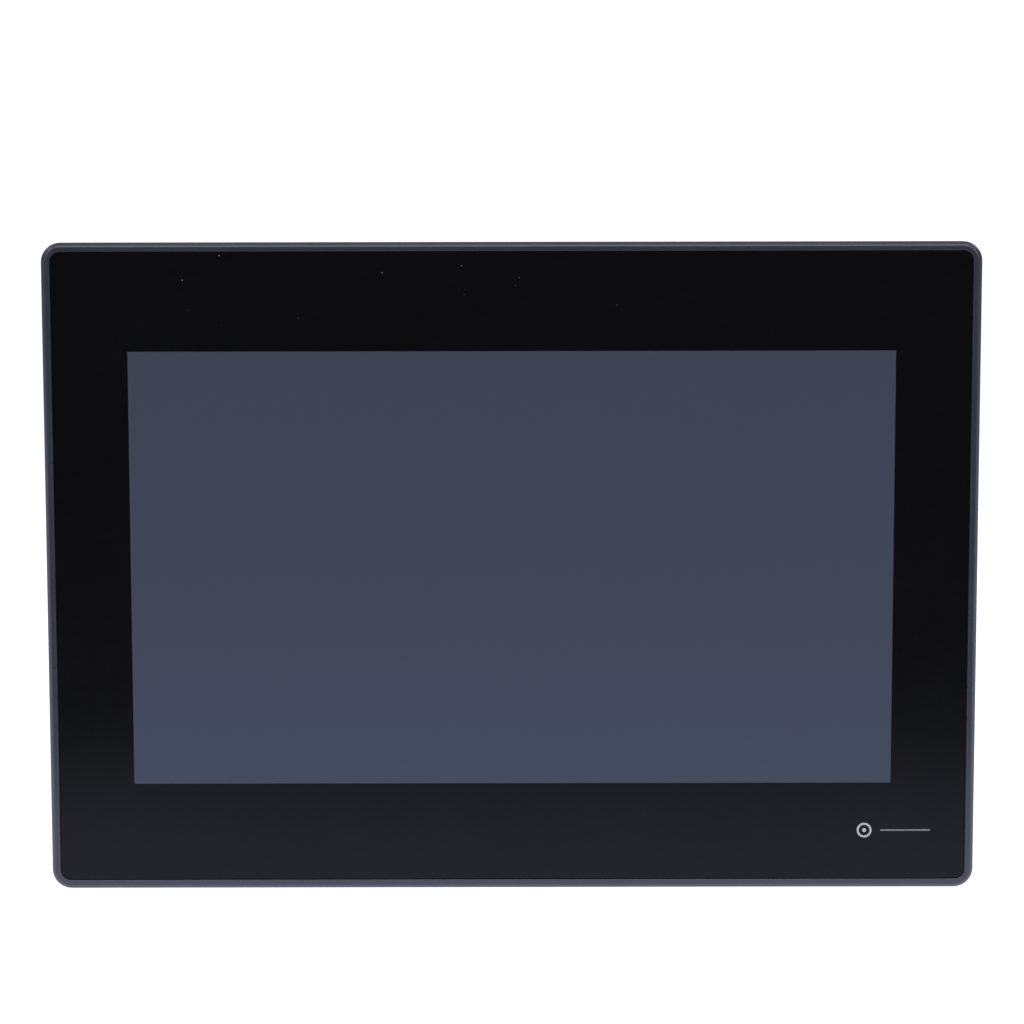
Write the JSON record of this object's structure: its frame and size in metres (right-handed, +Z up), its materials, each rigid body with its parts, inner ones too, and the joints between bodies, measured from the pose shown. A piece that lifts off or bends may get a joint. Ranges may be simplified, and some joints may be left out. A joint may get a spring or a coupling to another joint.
{
  "type": "panel-mount touch display",
  "caption": "Widescreen operator panel: flat bezel with a dark window in front, stepped housing, connector bay and screw clamps behind.",
  "frame": {"origin": "centre of the panel cut-out, in the plane where the seal meets the panel's front face", "axes": "+X to the right as the operator sees the display, +Y from the operator into the cabinet, +Z up"},
  "size_m": [0.272, 0.041, 0.19],
  "materials": {
    "bezel_plastic": "fine satin texture, slate grey",
    "overlay_film": "satin printed polyester film, black",
    "window_film": "anti-glare polyester film over a dark display",
    "gasket_rubber": "closed-cell foam rubber, black",
    "sensor_glass": "clear glass with a coated film",
    "flex_film": "amber polyimide film",
    "foam": "soft black foam",
    "display_steel": "thin pressed stainless steel",
    "display_glass": "dark polarised glass",
    "guide_acrylic": "clear acrylic with a white reflector",
    "ribbon": "white flat cable",
    "plated_steel": "bright zinc plate",
    "black_steel": "black zinc plate",
    "housing_plastic": "spark-textured moulding, near black",
    "label_film": "silver-grey printed film",
    "cell_steel": "nickel-plated steel",
    "black_moulding": "black nylon",
    "circuit_board": "green solder mask",
    "chip_epoxy": "black moulded epoxy",
    "sink_aluminium": "black anodised extrusion",
    "coil_ferrite": "sintered ferrite",
    "capacitor_can": "bright can",
    "terminal_plastic": "green nylon",
    "terminal_metal": "tin-plated brass",
    "switch_plastic": "blue nylon",
    "slider_plastic": "white nylon",
    "port_steel": "tin-plated shell",
    "clamp_steel": "zinc die casting"
  },
  "bodies": {
    "housing": {"front_bezel": "bezel_plastic", "overlay_border": "overlay_film", "overlay_window": "window_film", "panel_gasket": "gasket_rubber", "touch_sensor": "sensor_glass", "touch_tail": "flex_film", "foam_seal": "foam", "lcd_front_frame": "display_steel", "lcd_cell": "display_glass", "light_guide": "guide_acrylic", "lcd_rear_tray": "display_steel", "lcd_ribbon": "ribbon", "lcd_straps": "plated_steel", "strap_screws": "plated_steel", "rear_cover": "housing_plastic", "cover_screws": "black_steel", "rating_label": "label_film", "coin_cell": "cell_steel", "battery_holder": "black_moulding", "main_board": "circuit_board", "board_screws": "plated_steel", "processor_chip": "chip_epoxy", "heat_sink": "sink_aluminium", "memory_chips": "chip_epoxy", "power_coils": "coil_ferrite", "capacitors": "capacitor_can", "power_socket": "terminal_plastic", "dip_switch_base": "switch_plastic", "reset_switch_base": "black_moulding", "usb_device_port": "port_steel", "usb_host_port": "port_steel", "ethernet_jack": "port_steel", "serial_port_female": "port_steel", "serial_port_male": "port_steel", "jack_screws": "plated_steel"},
    "power_plug": {"power_plug": "terminal_plastic"},
    "battery_cover": {"battery_cover": "housing_plastic"},
    "reset_button": {"reset_button": "slider_plastic"},
    "terminal_screw_1": {"terminal_screw_1": "plated_steel"},
    "terminal_screw_2": {"terminal_screw_2": "plated_steel"},
    "terminal_screw_3": {"terminal_screw_3": "plated_steel"},
    "terminal_cage_1": {"terminal_cage_1": "terminal_metal"},
    "terminal_cage_2": {"terminal_cage_2": "terminal_metal"},
    "terminal_cage_3": {"terminal_cage_3": "terminal_metal"},
    "dip_slider_1": {"dip_slider_1": "slider_plastic"},
    "dip_slider_2": {"dip_slider_2": "slider_plastic"},
    "dip_slider_3": {"dip_slider_3": "slider_plastic"},
    "dip_slider_4": {"dip_slider_4": "slider_plastic"},
    "clamp_bracket_1": {"clamp_bracket_1": "clamp_steel"},
    "clamp_bracket_2": {"clamp_bracket_2": "clamp_steel"},
    "clamp_bracket_3": {"clamp_bracket_3": "clamp_steel"},
    "clamp_bracket_4": {"clamp_bracket_4": "clamp_steel"},
    "clamp_foot_1": {"clamp_foot_1": "black_moulding"},
    "clamp_foot_2": {"clamp_foot_2": "black_moulding"},
    "clamp_foot_3": {"clamp_foot_3": "black_moulding"},
    "clamp_foot_4": {"clamp_foot_4": "black_moulding"},
    "clamp_screw_1": {"clamp_screw_1": "plated_steel"},
    "clamp_screw_2": {"clamp_screw_2": "plated_steel"},
    "clamp_screw_3": {"clamp_screw_3": "plated_steel"},
    "clamp_screw_4": {"clamp_screw_4": "plated_steel"}
  },
  "joints": [
    {"name": "plug_slide", "type": "slide", "parent": "housing", "child": "power_plug", "axis": [0, 0, -1], "range_m": [0, 0.012]},
    {"name": "terminal_screw_1_turn", "type": "hinge", "parent": "power_plug", "child": "terminal_screw_1", "pos_m": [-0.08908, 0.0244, -0.0572], "axis": [0, -1, 0], "range_deg": [0, 1800]},
    {"name": "terminal_cage_1_rise", "type": "slide", "parent": "power_plug", "child": "terminal_cage_1", "axis": [0, 1, 0], "range_m": [0, 0.0025]},
    {"name": "terminal_screw_2_turn", "type": "hinge", "parent": "power_plug", "child": "terminal_screw_2", "pos_m": [-0.084, 0.0244, -0.0572], "axis": [0, -1, 0], "range_deg": [0, 1800]},
    {"name": "terminal_cage_2_rise", "type": "slide", "parent": "power_plug", "child": "terminal_cage_2", "axis": [0, 1, 0], "range_m": [0, 0.0025]},
    {"name": "terminal_screw_3_turn", "type": "hinge", "parent": "power_plug", "child": "terminal_screw_3", "pos_m": [-0.07892, 0.0244, -0.0572], "axis": [0, -1, 0], "range_deg": [0, 1800]},
    {"name": "terminal_cage_3_rise", "type": "slide", "parent": "power_plug", "child": "terminal_cage_3", "axis": [0, 1, 0], "range_m": [0, 0.0025]},
    {"name": "dip_slider_1_slide", "type": "slide", "parent": "housing", "child": "dip_slider_1", "axis": [0, 1, 0], "range_m": [0, 0.002]},
    {"name": "dip_slider_2_slide", "type": "slide", "parent": "housing", "child": "dip_slider_2", "axis": [0, 1, 0], "range_m": [0, 0.002]},
    {"name": "dip_slider_3_slide", "type": "slide", "parent": "housing", "child": "dip_slider_3", "axis": [0, 1, 0], "range_m": [0, 0.002]},
    {"name": "dip_slider_4_slide", "type": "slide", "parent": "housing", "child": "dip_slider_4", "axis": [0, 1, 0], "range_m": [0, 0.002]},
    {"name": "reset_press", "type": "slide", "parent": "housing", "child": "reset_button", "axis": [0, 0, 1], "range_m": [0, 0.0008], "stiffness_N_per_m": 200, "springref_m": -0.001},
    {"name": "battery_cover_pull", "type": "slide", "parent": "housing", "child": "battery_cover", "axis": [0, 1, 0], "range_m": [0, 0.012]},
    {"name": "clamp_1_hook", "type": "slide", "parent": "housing", "child": "clamp_bracket_1", "axis": [1, 0, 0], "range_m": [0, 0.0098]},
    {"name": "clamp_1_foot_travel", "type": "slide", "parent": "clamp_bracket_1", "child": "clamp_foot_1", "axis": [0, -1, 0], "range_m": [0, 0.008]},
    {"name": "clamp_1_screw_turn", "type": "hinge", "parent": "clamp_foot_1", "child": "clamp_screw_1", "pos_m": [-0.08, 0.02, 0.0918], "axis": [0, -1, 0], "range_deg": [0, 5760]},
    {"name": "clamp_2_hook", "type": "slide", "parent": "housing", "child": "clamp_bracket_2", "axis": [-1, 0, 0], "range_m": [0, 0.0098]},
    {"name": "clamp_2_foot_travel", "type": "slide", "parent": "clamp_bracket_2", "child": "clamp_foot_2", "axis": [0, -1, 0], "range_m": [0, 0.008]},
    {"name": "clamp_2_screw_turn", "type": "hinge", "parent": "clamp_foot_2", "child": "clamp_screw_2", "pos_m": [0.08, 0.02, 0.0918], "axis": [0, -1, 0], "range_deg": [0, 5760]},
    {"name": "clamp_3_hook", "type": "slide", "parent": "housing", "child": "clamp_bracket_3", "axis": [1, 0, 0], "range_m": [0, 0.0098]},
    {"name": "clamp_3_foot_travel", "type": "slide", "parent": "clamp_bracket_3", "child": "clamp_foot_3", "axis": [0, -1, 0], "range_m": [0, 0.008]},
    {"name": "clamp_3_screw_turn", "type": "hinge", "parent": "clamp_foot_3", "child": "clamp_screw_3", "pos_m": [-0.118, 0.02, -0.0918], "axis": [0, -1, 0], "range_deg": [0, 5760]},
    {"name": "clamp_4_hook", "type": "slide", "parent": "housing", "child": "clamp_bracket_4", "axis": [-1, 0, 0], "range_m": [0, 0.0098]},
    {"name": "clamp_4_foot_travel", "type": "slide", "parent": "clamp_bracket_4", "child": "clamp_foot_4", "axis": [0, -1, 0], "range_m": [0, 0.008]},
    {"name": "clamp_4_screw_turn", "type": "hinge", "parent": "clamp_foot_4", "child": "clamp_screw_4", "pos_m": [0.118, 0.02, -0.0918], "axis": [0, -1, 0], "range_deg": [0, 5760]}
  ],
  "couplings": [
    {"joint": "terminal_screw_1_turn", "follows": "terminal_cage_1_rise", "rad_per_m": 12566},
    {"joint": "terminal_screw_2_turn", "follows": "terminal_cage_2_rise", "rad_per_m": 12566},
    {"joint": "terminal_screw_3_turn", "follows": "terminal_cage_3_rise", "rad_per_m": 12566},
    {"joint": "clamp_1_screw_turn", "follows": "clamp_1_foot_travel", "rad_per_m": 12566},
    {"joint": "clamp_2_screw_turn", "follows": "clamp_2_foot_travel", "rad_per_m": 12566},
    {"joint": "clamp_3_screw_turn", "follows": "clamp_3_foot_travel", "rad_per_m": 12566},
    {"joint": "clamp_4_screw_turn", "follows": "clamp_4_foot_travel", "rad_per_m": 12566}
  ]
}
